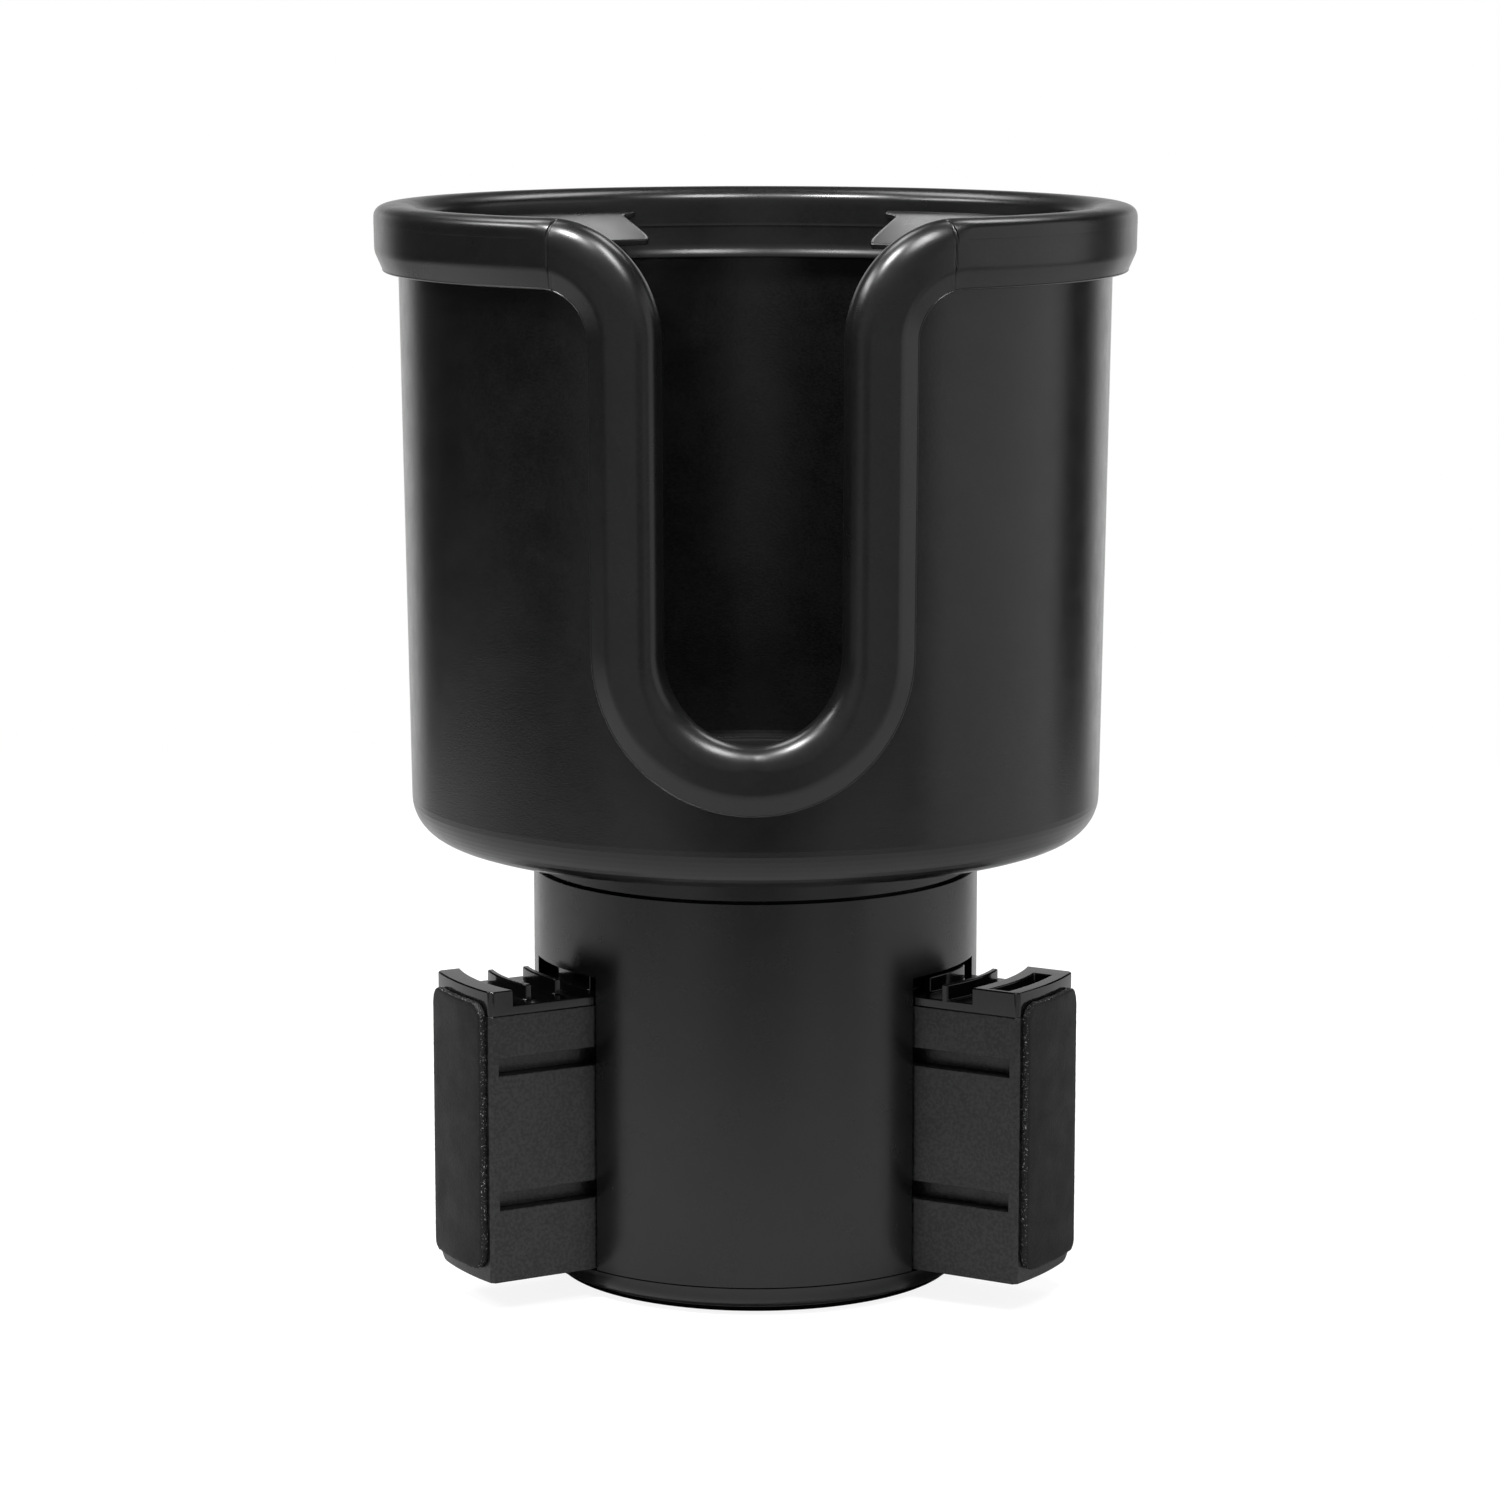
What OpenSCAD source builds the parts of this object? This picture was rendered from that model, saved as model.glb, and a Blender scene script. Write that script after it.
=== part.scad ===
// Cup holder adapter with an expanding base.
// A wide cup with a handle slot turns on a narrow sleeve. Turning it drives a
// spiral wall, which moves three arms out of the sleeve to grip a cup well.
// Origin: centre of the foot's underside. +Z is up and the handle slot faces -Y.

/* [Cup] */
// Outer radius of the cup wall at its top edge
cup_top_r = 53.65; // [52:0.05:56]
// Outer radius of the cup wall above the rounded bottom corner
cup_low_r = 52.4; // [50:0.1:53]
// Thickness of the cup wall
cup_wall = 2; // [1.6:0.1:2.4]
// Thickness of the cup floor
cup_floor = 3.5; // [3:0.1:5]
// Height of the cup, from its underside to the wall's top edge
cup_h = 93; // [84:0.5:110]
// Radius of the cup's outer bottom corner
cup_corner_r = 6.2; // [4:0.1:7]
// Thickness of the mat on the cup floor
mat_t = 3; // [1.5:0.1:4]
// Gap under the mat, and between its edge and the cup's inner corner
mat_gap = 0.15; // [0.1:0.05:0.4]

/* [Handle slot] */
// Half width of the slot opening, measured along the cup wall
slot_half_w = 12.95; // [9:0.05:16]
// Height of the slot opening's round bottom above the cup's underside
slot_low_h = 21.6; // [20:0.1:45]
// Radius of the two upper corners of the slot opening
slot_corner_r = 17; // [14:0.5:22]

/* [Rim trim] */
// Thickness of the trim over the wall's top edge
trim_crown_t = 2.4; // [1.8:0.1:4]
// How far the trim stands out from the cup's outer surface
trim_out = 3.5; // [2.6:0.1:4.5]
// Thickness of the trim's skirt inside the cup
trim_skirt_t = 1.3; // [0.9:0.1:2]
// Length of the trim's outer lip, measured from its crown
trim_lip = 10; // [8.5:0.1:12]
// Extra length of the inner skirt past the outer lip
trim_skirt_extra = 0.6; // [0:0.1:2]
// Length of the sloped band along the outer lip's edge
trim_bevel_h = 2.8; // [1.5:0.1:4]
// Depth of the sloped band along the outer lip's edge
trim_bevel_d = 1.3; // [0.5:0.1:2]
// Radius of the trim's outer crown edge
trim_outer_fillet = 2.6; // [1:0.1:3]
// Radius of the trim's inner crown edge
trim_inner_fillet = 2.1; // [1:0.1:2.3]
// Gap between the trim's channel and the cup wall
trim_gap = 0.12; // [0.08:0.02:0.3]
// Angle that one grip flap spans
flap_span = 37; // [25:1:42]
// Angle from the back of the cup to the middle of the rear flaps
flap_rear_angle = 43; // [40:1:52]
// Angle from the back of the cup to the middle of the front flaps
flap_front_angle = 122; // [110:1:124]
// How far a flap reaches in from the skirt
flap_len = 6.7; // [3:0.1:9]
// How far a flap's free edge droops
flap_droop = 3.8; // [1:0.1:5]
// Thickness of a flap
flap_t = 0.9; // [0.7:0.1:1.4]
// Depth of the flap's root below the trim's crown
flap_root_depth = 4; // [3:0.1:5]

/* [Neck] */
// Height of the neck's visible band
neck_h = 4.7; // [4:0.1:8]
// Outer radius of the neck's visible band
neck_r = 33.3; // [32.5:0.1:33.6]
// Gap between the neck's band and the sleeve's top edge
neck_gap = 0.4; // [0.3:0.1:0.8]
// Radial gap between the neck's lower wall and the sleeve
neck_side_gap = 0.5; // [0.3:0.1:0.8]
// Thickness of the neck's wall and floor
neck_wall = 2.5; // [2:0.1:3]
// Thickness of the glide ring
glide_t = 1.2; // [0.8:0.1:2]
// Gap between the glide ring and the neck above it
glide_gap = 0.1; // [0.05:0.05:0.2]

/* [Sleeve] */
// Outer radius of the sleeve
sleeve_r = 34; // [33.8:0.1:34.5]
// Wall of the sleeve
sleeve_wall = 2; // [1.6:0.1:2.2]
// Height of the sleeve
sleeve_h = 58.1; // [57:0.1:64]
// Gap between an arm's top and the top of its slot
slot_top_gap = 0.45; // [0.35:0.05:0.6]
// Thickness of the inner shelf
shelf_t = 2.5; // [2:0.1:3]
// Wall of the arm channels inside the sleeve
channel_wall = 1.8; // [1.4:0.1:2.2]
// Outer radius of the hub that turns in the shelf
hub_r = 14; // [13:0.1:16]
// Running gap between the hub and the shelf
hub_gap = 0.1; // [0.05:0.01:0.1]

/* [Bottom] */
// Thickness of the foot pad
foot_t = 1; // [0.8:0.1:2]
// Radius of the foot pad
foot_r = 30.9; // [26:0.1:31]
// Thickness of the bottom cover
plate_t = 3.3; // [3:0.1:4]
// Radius of the bottom cover's rounded edge
plate_round = 2.8; // [1.5:0.1:2.8]
// Bevel on the sleeve's bottom edge, which shows as the seam
seam_bevel = 0.2; // [0.1:0.05:0.3]
// Height of the rim that centres the bottom cover in the sleeve
spigot_h = 2; // [1:0.1:4]
// Gap between that rim and the sleeve
spigot_gap = 0.15; // [0.1:0.05:0.3]

/* [Scroll] */
// Lead of the spiral wall, which is also the pitch of the teeth
lead = 5.8; // [5.6:0.1:6]
// Thickness of the spiral wall
scroll_wall = 1.4; // [1.1:0.1:1.5]
// Inner radius of the spiral wall's centre line
scroll_in_r = 18; // [17:0.5:20]
// Gap between the spiral wall and the rim of its disc
scroll_rim = 0.2; // [0.1:0.1:0.5]
// Thickness of the scroll disc
disc_t = 2.3; // [2:0.1:2.6]
// Radial gap between the scroll disc and the sleeve
disc_side_gap = 0.6; // [0.4:0.1:0.8]
// Gap between the disc's upper face and the shelf
disc_gap = 0.4; // [0.3:0.1:0.6]
// How far the spiral wall lies inwards of the middle between two teeth
mesh_shift = 0.2; // [0:0.05:0.25]

/* [Arms] */
// Radius of an open arm's outer face
arm_face_r = 50.8; // [48:0.1:54]
// Half width of an arm
arm_half_w = 9; // [8.8:0.1:9.1]
// Gap between an arm and the slot, channel or cover beside it
arm_gap = 0.35; // [0.3:0.05:0.4]
// Height of an arm, with its toothed plate
arm_h = 44.3; // [40:0.1:47]
// How far the pads of the closed arms stand out of the sleeve
closed_proud = 0.9; // [0.8:0.1:3]
// How far the closed arms' inner ends stay from where the arms would meet
arm_inner_gap = 0.5; // [0.4:0.1:1.5]
// Height of the toothed plate's side, below the teeth
rack_deck_h = 1.45; // [1.2:0.05:2]
// Height of the teeth over the deck
tooth_h = 2.35; // [2:0.05:2.4]
// Bevel on the arm's outer vertical edges
arm_bevel = 0.5; // [0.2:0.1:0.8]
// Height of the guide grooves
groove_h = 2.7; // [2.4:0.1:3.2]
// Depth of the guide grooves
groove_d = 2.5; // [1.8:0.1:2.8]
// Height of the lower groove's middle above the arm's underside
groove_low_z = 12.35; // [10:0.1:14]
// Height of the upper groove's middle above the arm's underside
groove_high_z = 32.8; // [30:0.1:34]
// Wall left between a groove's outer end and the arm's outer corner
groove_end = 1.35; // [1:0.05:1.5]
// Wall between the grooves and the hollow in the arm
arm_wall = 1.6; // [1.2:0.1:2]
// Thickness of an arm's floor and end walls
arm_end_wall = 2.4; // [1.8:0.1:3]
// Depth of the toothed plate's plug in the arm's hollow
rack_plug_h = 1.5; // [1:0.1:2.5]
// Gap around that plug
rack_plug_gap = 0.15; // [0.1:0.05:0.3]
// Thickness of the grip pads
pad_t = 1.1; // [0.8:0.1:1.1]
// Margin between a pad and the arm's side
pad_side = 1; // [0.8:0.1:1.6]
// Margin between a pad and the arm's top and bottom
pad_end = 1.8; // [1.2:0.1:2.6]
// Radius of the pads' corners
pad_corner_r = 2.6; // [1.5:0.1:4]

/* [Teeth] */
// Thickness of a tooth
tooth_t = 1; // [0.8:0.1:1.1]
// Radius of a tooth's curve
tooth_r = 25; // [23:0.5:27]
// Distance from the left arm's outermost tooth to the arm's outer corners
left_tooth_back = 6.7; // [6.5:0.1:7]
// Half length of the inner teeth
inner_tooth_half = 5.4; // [4.5:0.1:5.6]
// Gap between the spiral wall and the block outside the last tooth
block_gap = 0.75; // [0.7:0.05:0.9]
// Wall around the pocket in a wide end block
pocket_wall = 2.3; // [1.8:0.1:2.6]

/* [Screws] */
// Shank radius of every screw
screw_r = 1.5; // [1.2:0.1:1.7]
// Head radius of every screw
screw_head_r = 2.8; // [2.5:0.1:3]
// Head height of every screw
screw_head_h = 1.7; // [1.4:0.1:1.8]
// Gap around a screw in its hole
screw_gap = 0.15; // [0.05:0.05:0.3]
// Wall around a screw in its boss
boss_wall = 2; // [1.5:0.1:2.5]
// Distance of the cup screws from the axis
cup_screw_at = 22; // [18:0.5:23]
// Distance of the scroll screws from the axis
scroll_screw_at = 8.5; // [7:0.5:9]
// Distance of the base screws from the axis
base_screw_at = 24; // [22:0.5:25]
// Length of the base screws' bosses
base_boss_h = 16; // [10:0.5:20]

/* [Hidden] */
$fn = 96;
// Steps of a rounded edge on a turned piece
round_steps = 12;

// Directions of the arms, seen from above, from +X
left_angle = 210;
right_angle = 330;
rear_angle = 90;
arm_angles = [left_angle, right_angle, rear_angle];

// Heights, from the floor up
plate_z = foot_t;
sleeve_z = plate_z + plate_t;
sleeve_top = sleeve_z + sleeve_h;
arm_z = sleeve_z + arm_gap;
arm_top = arm_z + arm_h;
deck_z = arm_top - tooth_h;
rack_z = deck_z - rack_deck_h;
arm_slot_top = arm_top + slot_top_gap;
disc_z = arm_slot_top;
shelf_z = disc_z + disc_t + disc_gap;
glide_z = shelf_z + shelf_t;
neck_floor_z = glide_z + glide_t + glide_gap;
neck_band_z = sleeve_top + neck_gap;
cup_z = neck_band_z + neck_h;
cup_floor_z = cup_z + cup_floor;
cup_top = cup_z + cup_h;
crown_z = cup_top + trim_crown_t + trim_gap;

// Cup wall's inside and its inner bottom corner
inner_corner_r = max(cup_corner_r - cup_wall, 1);
cup_in_top_r = cup_top_r - cup_wall;
cup_in_low_r = cup_low_r - cup_wall;

// Sleeve and what turns in it
sleeve_in_r = sleeve_r - sleeve_wall;
channel_half = arm_half_w + arm_gap;
neck_skirt_r = sleeve_in_r - neck_side_gap;
disc_r = sleeve_in_r - disc_side_gap;

// Travel of the arms between the open and the closed base
travel = arm_face_r + pad_t - sleeve_r - closed_proud;

// Arms, measured outwards along an arm's own axis
arm_corner_s = sqrt(pow(arm_face_r, 2) - pow(arm_half_w, 2));
arm_inner_s = travel + arm_half_w / tan(60) + arm_inner_gap;
groove_out_s = arm_corner_s - groove_end;
hollow_half = arm_half_w - groove_d - arm_wall;
hollow_in_s = arm_inner_s + arm_end_wall;
hollow_out_s = arm_corner_s - arm_end_wall;

// Guide rails, which stop the arms at the end of their travel
rail_out_s = groove_out_s - travel - arm_gap;
rail_in_s = channel_half + 1;
rail_in_y = arm_half_w - groove_d + arm_gap;
rail_out_y = channel_half + channel_wall / 2;

// Teeth: the k-th arm's teeth lie a third of a lead further out than the last one's
left_tooth_s = arm_corner_s - left_tooth_back;
rack_tooth_limit = left_tooth_s + 0.01;
function first_tooth(k) =
    let (s = left_tooth_s + lead * k / 3)
    s > rack_tooth_limit ? s - lead : s;
function block_in(k) = first_tooth(k) + lead / 2 - mesh_shift + scroll_wall / 2 + block_gap;
tooth_root_sink = 0.2;

// Spiral wall: its centre line's radius at a direction, counted on past a full turn
scroll_out_r = disc_r - scroll_rim - scroll_wall / 2;
scroll_ref_r = left_tooth_s + lead / 2 - mesh_shift;
scroll_step = 6;
scroll_z = deck_z + arm_gap;
function scroll_r(a) = scroll_ref_r + lead * (a - left_angle) / 360;
function scroll_a(r) = left_angle + 360 * (r - scroll_ref_r) / lead;

// Screws
screw_hole_r = screw_r + screw_gap;
boss_r = screw_hole_r + boss_wall;
head_hole_r = screw_head_r + screw_gap;
base_screw_angles = [30, 150, 270];
cup_screw_angles = [45, 135, 225, 315];
scroll_screw_angles = [30, 150, 270];
screw_tip_gap = 1;

// Outer radius of the cup wall at a height
function cup_r(z) =
    let (z0 = cup_z + cup_corner_r)
    cup_low_r + (cup_top_r - cup_low_r) * (z - z0) / (cup_top - z0);

// Points of an arc, from its centre, radius and two angles
function arc(c, r, a0, a1, n) =
    [for (i = [0 : n]) let (a = a0 + (a1 - a0) * i / n) [c.x + r * cos(a), c.y + r * sin(a)]];

// The trim's crown line, unrolled from the cup wall: x runs along the wall from the middle of the
// slot, y is the height. Each entry is [x, y, dx, dy], where dx and dy point into the wall.
unroll_r = (cup_top_r + cup_low_r) / 2;
half_turn = PI * unroll_r;
slot_low_y = cup_z + slot_low_h + slot_half_w;
corner_y = crown_z - slot_corner_r;
corner_x = slot_half_w + slot_corner_r;
rim_steps = 72;
corner_steps = 8;
bottom_steps = 18;
side_steps = 3;
// Right upper corner, down the right side, round the bottom, and back up the left side
slot_line = concat(
    [for (i = [0 : corner_steps]) let (a = 90 + 90 * i / corner_steps)
        [corner_x + slot_corner_r * cos(a), corner_y + slot_corner_r * sin(a), -cos(a), -sin(a)]],
    [for (i = [1 : side_steps - 1])
        [slot_half_w, corner_y + (slot_low_y - corner_y) * i / side_steps, 1, 0]],
    [for (i = [0 : bottom_steps]) let (a = -180 * i / bottom_steps)
        [slot_half_w * cos(a), slot_low_y + slot_half_w * sin(a), cos(a), sin(a)]],
    [for (i = [1 : side_steps - 1])
        [-slot_half_w, slot_low_y + (corner_y - slot_low_y) * i / side_steps, -1, 0]],
    [for (i = [0 : corner_steps]) let (a = 90 * i / corner_steps)
        [-corner_x + slot_corner_r * cos(a), corner_y + slot_corner_r * sin(a), -cos(a), -sin(a)]]);
// Round the back of the rim, from the left corner to the right one
rim_line = [for (i = [1 : rim_steps - 1])
    [-corner_x - 2 * (half_turn - corner_x) * i / rim_steps, crown_z, 0, -1]];
crown_line = concat(slot_line, rim_line);

// The trim's section: [n, m] is the distance out from the wall's outer face, and into the wall
// from the crown line
trim_in = -cup_wall - trim_gap - trim_skirt_t;
trim_skirt = trim_lip + trim_skirt_extra;
fillet_steps = 3;
skirt_edge = 0.4;
trim_section = concat(
    [for (i = [0 : fillet_steps]) let (a = 90 * i / fillet_steps)
        [trim_out - trim_outer_fillet * (1 - sin(a)), trim_outer_fillet * (1 - cos(a))]],
    [[trim_out, trim_lip - trim_bevel_h],
     [trim_out - trim_bevel_d, trim_lip],
     [trim_gap, trim_lip],
     [trim_gap, trim_crown_t],
     [-cup_wall - trim_gap, trim_crown_t],
     [-cup_wall - trim_gap, trim_skirt],
     [trim_in + skirt_edge, trim_skirt],
     [trim_in, trim_skirt - skirt_edge]],
    [for (i = [0 : fillet_steps]) let (a = 90 - 90 * i / fillet_steps)
        [trim_in + trim_inner_fillet * (1 - sin(a)), trim_inner_fillet * (1 - cos(a))]]);

// A point of the trim: a section point q at a station p of the crown line
function on_wall(p, q) =
    let (y = p[1] + q[1] * p[3],
        a = (p[0] + q[1] * p[2]) / unroll_r * 180 / PI,
        r = cup_r(y) + q[0])
    [r * sin(a), -r * cos(a), y];

// The cut for the slot: the crown line, moved into the wall and seen from the front. It is worked
// out at the wall's widest radius, so the wall's edge never reaches the trim.
cut_in = trim_crown_t + trim_gap;
slot_cut = [for (p = slot_line)
    [cup_top_r * sin((p[0] + cut_in * p[2]) / unroll_r * 180 / PI), p[1] + cut_in * p[3]]];

// Repeats its children at each of the angles
module around(angles) {
    for (a = angles) rotate([0, 0, a]) children();
}

// A screw with a flat round head. The underside of the head is at z = 0.
module screw(length) {
    cylinder(r = screw_head_r, h = screw_head_h);
    translate([0, 0, -length]) cylinder(r = screw_r, h = length + screw_head_h / 2);
}

// Three strips from the axis outwards, one for each arm, of a given half width
module arm_strips(half_w, length) {
    around(arm_angles) translate([0, -half_w]) square([length, 2 * half_w]);
}

// Outline of an arm seen from above: straight sides, a round outer face and bevelled corners
module arm_outline() {
    intersection() {
        translate([arm_inner_s, -arm_half_w]) square([arm_face_r, 2 * arm_half_w]);
        circle(r = arm_face_r);
        polygon([[0, -arm_half_w], [arm_corner_s - arm_bevel, -arm_half_w],
            [arm_corner_s + arm_bevel, -arm_half_w + 2 * arm_bevel],
            [arm_face_r + 1, -arm_half_w + 2 * arm_bevel],
            [arm_face_r + 1, arm_half_w - 2 * arm_bevel],
            [arm_corner_s + arm_bevel, arm_half_w - 2 * arm_bevel],
            [arm_corner_s - arm_bevel, arm_half_w], [0, arm_half_w]]);
    }
}

module upper_cup() {
    // Radius of the inner wall where it meets the inner corner
    inner_low = cup_r(cup_floor_z + inner_corner_r) - cup_wall;
    color("#2b2b2d") difference() {
        translate([0, 0, cup_z]) rotate_extrude() polygon(concat(
            [[0, 0]],
            arc([cup_low_r - cup_corner_r, cup_corner_r], cup_corner_r, -90, 0, round_steps),
            [[cup_top_r, cup_h], [cup_in_top_r, cup_h]],
            arc([inner_low - inner_corner_r, cup_floor + inner_corner_r], inner_corner_r, 0, -90, round_steps),
            [[0, cup_floor]]));
        // Handle slot
        rotate([90, 0, 0]) linear_extrude(height = cup_top_r + trim_out)
            polygon(concat(slot_cut, [[-corner_x, cup_top + 1], [corner_x, cup_top + 1]]));
        // Screw holes with recesses for the heads
        around(cup_screw_angles) translate([cup_screw_at, 0, cup_z]) {
            translate([0, 0, -1]) cylinder(r = screw_hole_r, h = cup_floor + 2);
            translate([0, 0, cup_floor - screw_head_h]) cylinder(r = head_hole_r, h = screw_head_h + 1);
        }
    }
}

module rim_trim() {
    stations = len(crown_line);
    sides = len(trim_section);
    color("#232325") union() {
        polyhedron(
            points = [for (p = crown_line) for (q = trim_section) on_wall(p, q)],
            faces = [for (i = [0 : stations - 1]) for (j = [0 : sides - 1]) for (half = [0, 1])
                let (a = i * sides + j,
                    b = i * sides + (j + 1) % sides,
                    c = ((i + 1) % stations) * sides + (j + 1) % sides,
                    d = ((i + 1) % stations) * sides + j)
                half == 0 ? [a, b, c] : [a, c, d]],
            convexity = 10);
        for (side = [-1, 1]) {
            grip_flap(90 + side * flap_rear_angle);
            grip_flap(90 + side * flap_front_angle);
        }
    }
}

// A drooping flap, centred on a direction. Its root is sunk into the trim's skirt.
module grip_flap(middle) {
    root_z = crown_z - flap_root_depth;
    skirt_r = cup_r(root_z) + trim_in;
    root_r = skirt_r + trim_skirt_t / 2;
    tip_r = skirt_r - flap_len;
    slope = flap_droop / flap_len;
    sink_z = slope * trim_skirt_t / 2;
    rotate([0, 0, middle - flap_span / 2]) rotate_extrude(angle = flap_span)
        polygon([[root_r, root_z + sink_z], [root_r, root_z + sink_z - flap_t],
            [tip_r, root_z - flap_droop - flap_t], [tip_r, root_z - flap_droop]]);
}

module cup_mat() {
    // The mat reaches onto the inner corner until it would touch it
    reach = sqrt(pow(inner_corner_r, 2) - pow(inner_corner_r - mat_gap, 2)) - mat_gap;
    mat_r = cup_in_low_r - inner_corner_r + reach;
    color("#1a1a1b") translate([0, 0, cup_floor_z + mat_gap]) cylinder(r = mat_r, h = mat_t);
}

module cup_screws() {
    length = cup_z + cup_floor - screw_head_h - neck_floor_z - neck_wall - screw_tip_gap;
    color("#8a8c8f") around(cup_screw_angles)
        translate([cup_screw_at, 0, cup_floor_z - screw_head_h]) screw(length);
}

module neck_plate() {
    inner_r = neck_skirt_r - neck_wall;
    color("#202022") difference() {
        union() {
            translate([0, 0, neck_floor_z]) difference() {
                cylinder(r = neck_skirt_r, h = cup_z - neck_floor_z);
                translate([0, 0, neck_wall]) cylinder(r = inner_r, h = cup_z - neck_floor_z);
            }
            translate([0, 0, neck_band_z]) difference() {
                cylinder(r = neck_r, h = neck_h);
                translate([0, 0, -1]) cylinder(r = inner_r, h = neck_h + 2);
            }
            around(cup_screw_angles) translate([cup_screw_at, 0, neck_floor_z])
                cylinder(r = boss_r, h = cup_z - neck_floor_z);
        }
        around(cup_screw_angles) translate([cup_screw_at, 0, neck_floor_z + neck_wall])
            cylinder(r = screw_hole_r, h = cup_z - neck_floor_z);
        around(scroll_screw_angles) translate([scroll_screw_at, 0, neck_floor_z - 1])
            cylinder(r = screw_hole_r, h = neck_wall + 2);
    }
}

module scroll_disc() {
    a0 = scroll_a(scroll_in_r);
    a1 = scroll_a(scroll_out_r);
    steps = ceil((a1 - a0) / scroll_step);
    sweep = [for (i = [0 : steps]) a0 + (a1 - a0) * i / steps];
    inner_edge = [for (a = sweep) (scroll_r(a) - scroll_wall / 2) * [cos(a), sin(a)]];
    outer_edge = [for (a = sweep) (scroll_r(a) + scroll_wall / 2) * [cos(a), sin(a)]];
    color("#303033") difference() {
        union() {
            translate([0, 0, disc_z]) cylinder(r = disc_r, h = disc_t);
            translate([0, 0, disc_z]) cylinder(r = hub_r, h = neck_floor_z - disc_z);
            // The spiral wall, joined to the disc above it
            translate([0, 0, scroll_z]) linear_extrude(height = disc_z + disc_t / 2 - scroll_z)
                polygon(concat(outer_edge, [for (i = [steps : -1 : 0]) inner_edge[i]]));
        }
        around(scroll_screw_angles) translate([scroll_screw_at, 0, disc_z - 1])
            cylinder(r = screw_hole_r, h = neck_floor_z - disc_z + 2);
    }
}

module scroll_screws() {
    head_z = neck_floor_z + neck_wall;
    color("#8a8c8f") around(scroll_screw_angles)
        translate([scroll_screw_at, 0, head_z]) screw(head_z - disc_z - screw_tip_gap);
}

module glide_ring() {
    color("#c9c6bd") translate([0, 0, glide_z]) difference() {
        cylinder(r = neck_skirt_r - neck_wall, h = glide_t);
        translate([0, 0, -1]) cylinder(r = hub_r + neck_wall, h = glide_t + 2);
    }
}

module base_sleeve() {
    channel_top = deck_z - arm_gap;
    rail_h = groove_h - 2 * arm_gap;
    rib_up = spigot_h + spigot_gap;
    color("#29292b") difference() {
        union() {
            // The tube, with a bevel at its bottom edge
            translate([0, 0, sleeve_z]) rotate_extrude() polygon([
                [sleeve_in_r, 0], [sleeve_r - seam_bevel, 0], [sleeve_r, seam_bevel],
                [sleeve_r, sleeve_h], [sleeve_in_r, sleeve_h]]);
            // The shelf that the neck turns on
            translate([0, 0, shelf_z]) difference() {
                cylinder(r = sleeve_in_r + sleeve_wall / 2, h = shelf_t);
                translate([0, 0, -1]) cylinder(r = hub_r + hub_gap, h = shelf_t + 2);
            }
            // Walls beside the arm channels
            translate([0, 0, sleeve_z]) linear_extrude(height = channel_top - sleeve_z) intersection() {
                arm_strips(channel_half + channel_wall, sleeve_r);
                circle(r = sleeve_in_r + sleeve_wall / 2);
            }
            // Bosses for the base screws, each tied to the sleeve's wall by a rib
            around(base_screw_angles) {
                translate([base_screw_at, 0, sleeve_z]) cylinder(r = boss_r, h = base_boss_h);
                translate([base_screw_at, -channel_wall / 2, sleeve_z + rib_up])
                    cube([sleeve_r - sleeve_wall / 2 - base_screw_at, channel_wall, base_boss_h - rib_up]);
            }
        }
        // Arm slots and channels, open at the bottom
        translate([0, 0, sleeve_z - 1]) linear_extrude(height = arm_slot_top - sleeve_z + 1)
            arm_strips(channel_half, sleeve_r + 1);
        around(base_screw_angles) translate([base_screw_at, 0, sleeve_z - 1])
            cylinder(r = screw_hole_r, h = base_boss_h);
    }
    // Guide rails in the arms' grooves
    color("#29292b") around(arm_angles) for (side = [-1, 1], z = [groove_low_z, groove_high_z])
        translate([rail_in_s, side > 0 ? rail_in_y : -rail_out_y, arm_z + z - rail_h / 2])
            cube([rail_out_s - rail_in_s, rail_out_y - rail_in_y, rail_h]);
}

module base_plate() {
    spigot_r = sleeve_in_r - spigot_gap;
    color("#262628") difference() {
        union() {
            translate([0, 0, plate_z]) rotate_extrude() polygon(concat(
                [[0, 0]],
                arc([sleeve_r - plate_round, plate_round], plate_round, -90, 0, round_steps),
                [[sleeve_r, plate_t], [0, plate_t]]));
            // Centring rim between the arm channels
            translate([0, 0, plate_z]) linear_extrude(height = plate_t + spigot_h) difference() {
                circle(r = spigot_r);
                circle(r = spigot_r - channel_wall);
                arm_strips(channel_half + channel_wall + spigot_gap, sleeve_r);
            }
        }
        around(base_screw_angles) translate([base_screw_at, 0, plate_z]) {
            translate([0, 0, -1]) cylinder(r = screw_hole_r, h = plate_t + 2);
            translate([0, 0, -1]) cylinder(r = head_hole_r, h = screw_head_h + screw_gap + 1);
        }
    }
}

module base_screws() {
    head_z = plate_z + screw_gap + screw_head_h;
    color("#8a8c8f") around(base_screw_angles) translate([base_screw_at, 0, head_z])
        mirror([0, 0, 1]) screw(sleeve_z + base_boss_h - 2 * screw_tip_gap - head_z);
}

module foot_pad() {
    color("#141415") cylinder(r = foot_r, h = foot_t);
}

// The body of an arm, lying along +X
module arm_body() {
    difference() {
        translate([0, 0, arm_z]) linear_extrude(height = rack_z - arm_z) arm_outline();
        translate([hollow_in_s, -hollow_half, arm_z + arm_end_wall])
            cube([hollow_out_s - hollow_in_s, 2 * hollow_half, arm_h]);
        for (side = [-1, 1], z = [groove_low_z, groove_high_z])
            translate([arm_inner_s - 1, side * arm_half_w - groove_d, arm_z + z - groove_h / 2])
                cube([groove_out_s - arm_inner_s + 1, 2 * groove_d, groove_h]);
    }
}

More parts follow.
